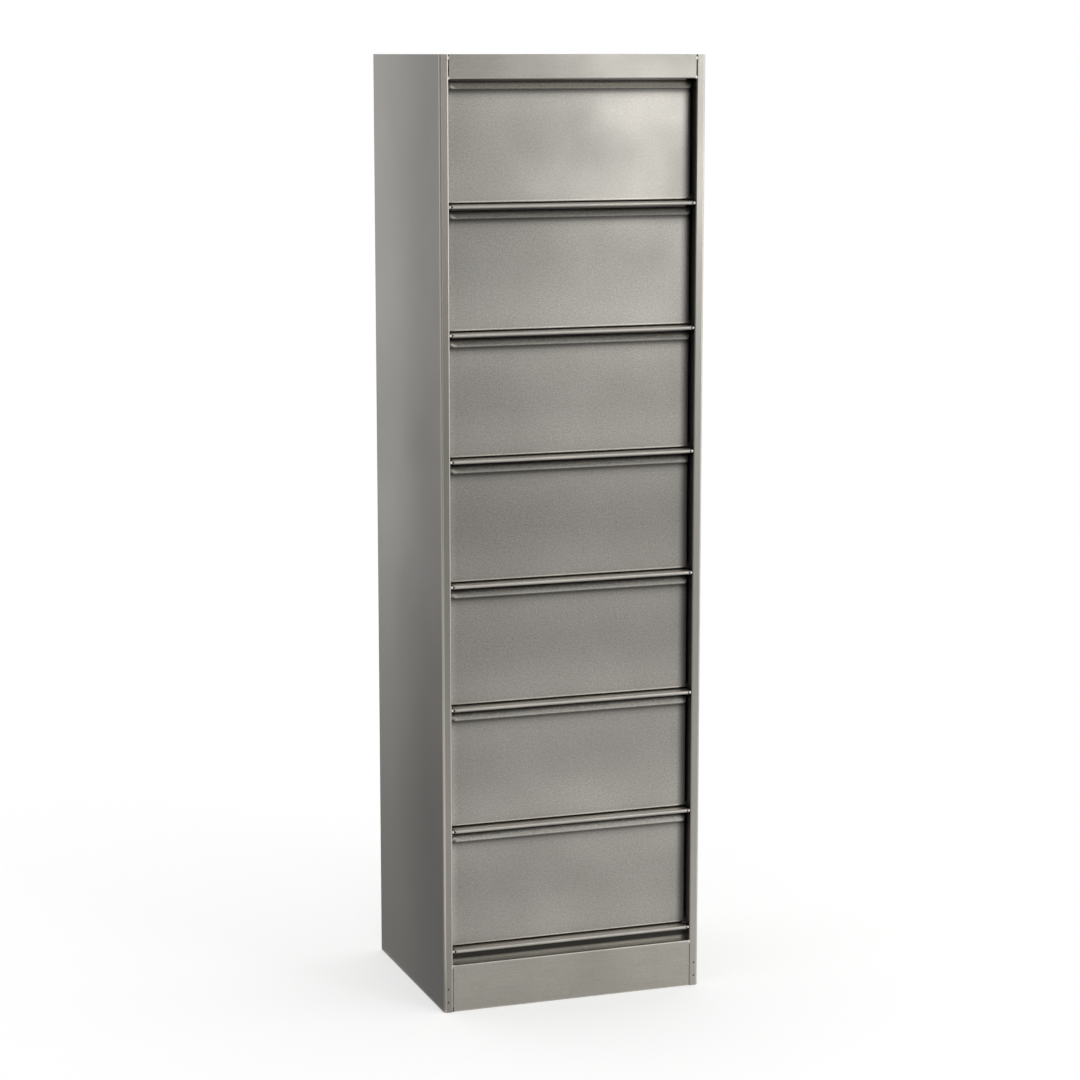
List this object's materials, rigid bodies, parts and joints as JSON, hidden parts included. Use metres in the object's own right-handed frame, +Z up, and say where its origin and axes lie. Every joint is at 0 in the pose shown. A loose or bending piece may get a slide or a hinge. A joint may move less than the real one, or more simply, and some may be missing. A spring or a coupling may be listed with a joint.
{
  "type": "filing cabinet",
  "caption": "Tall narrow bare-steel filing cabinet with stacked document bays, each closed by a drop-down flap with a sloped finger lip, over a recessed plinth ledge.",
  "frame": {"origin": "middle of the footprint, on the floor", "axes": "+X to the right as seen from the front, +Y to the back, +Z up; the flaps face -Y"},
  "size_m": [0.39, 0.32, 1.35],
  "materials": {
    "case_steel": "satin, clear varnish",
    "shelf_steel": "satin, clear varnish",
    "flap_steel": "satin, clear varnish",
    "fastener_steel": "zinc plated",
    "pole_steel": "plain",
    "magnet": "matt",
    "nylon": "moulded",
    "rubber": "matt"
  },
  "bodies": {
    "case": {"left_side_panel": "case_steel", "right_side_panel": "case_steel", "back_panel": "case_steel", "top_panel": "case_steel", "header_rail": "case_steel", "plinth": "case_steel", "foot_gusset_left": "case_steel", "foot_gusset_right": "case_steel", "pivot_bushes": "nylon", "stop_pads": "rubber", "catch_poles": "pole_steel", "catch_magnets": "magnet", "bottom_shelf": "shelf_steel", "shelf_2": "shelf_steel", "shelf_3": "shelf_steel", "shelf_4": "shelf_steel", "shelf_5": "shelf_steel", "shelf_6": "shelf_steel", "shelf_7": "shelf_steel", "stop_rail_1": "case_steel", "stop_rail_2": "case_steel", "stop_rail_3": "case_steel", "stop_rail_4": "case_steel", "stop_rail_5": "case_steel", "stop_rail_6": "case_steel", "stop_rail_7": "case_steel", "magnet_catch_1": "nylon", "magnet_catch_2": "nylon", "magnet_catch_3": "nylon", "magnet_catch_4": "nylon", "magnet_catch_5": "nylon", "magnet_catch_6": "nylon", "magnet_catch_7": "nylon"},
    "flap_1": {"flap_1": "flap_steel", "pivot_pins_1": "fastener_steel"},
    "flap_2": {"flap_2": "flap_steel", "pivot_pins_2": "fastener_steel"},
    "flap_3": {"flap_3": "flap_steel", "pivot_pins_3": "fastener_steel"},
    "flap_4": {"flap_4": "flap_steel", "pivot_pins_4": "fastener_steel"},
    "flap_5": {"flap_5": "flap_steel", "pivot_pins_5": "fastener_steel"},
    "flap_6": {"flap_6": "flap_steel", "pivot_pins_6": "fastener_steel"},
    "flap_7": {"flap_7": "flap_steel", "pivot_pins_7": "fastener_steel"}
  },
  "joints": [
    {"name": "flap_1_hinge", "type": "hinge", "parent": "case", "child": "flap_1", "pos_m": [0, -0.14, 0.096], "axis": [1, 0, 0], "range_deg": [0, 90]},
    {"name": "flap_2_hinge", "type": "hinge", "parent": "case", "child": "flap_2", "pos_m": [0, -0.14, 0.2719], "axis": [1, 0, 0], "range_deg": [0, 90]},
    {"name": "flap_3_hinge", "type": "hinge", "parent": "case", "child": "flap_3", "pos_m": [0, -0.14, 0.4478], "axis": [1, 0, 0], "range_deg": [0, 90]},
    {"name": "flap_4_hinge", "type": "hinge", "parent": "case", "child": "flap_4", "pos_m": [0, -0.14, 0.6237], "axis": [1, 0, 0], "range_deg": [0, 90]},
    {"name": "flap_5_hinge", "type": "hinge", "parent": "case", "child": "flap_5", "pos_m": [0, -0.14, 0.7996], "axis": [1, 0, 0], "range_deg": [0, 90]},
    {"name": "flap_6_hinge", "type": "hinge", "parent": "case", "child": "flap_6", "pos_m": [0, -0.14, 0.9755], "axis": [1, 0, 0], "range_deg": [0, 90]},
    {"name": "flap_7_hinge", "type": "hinge", "parent": "case", "child": "flap_7", "pos_m": [0, -0.14, 1.1514], "axis": [1, 0, 0], "range_deg": [0, 90]}
  ]
}
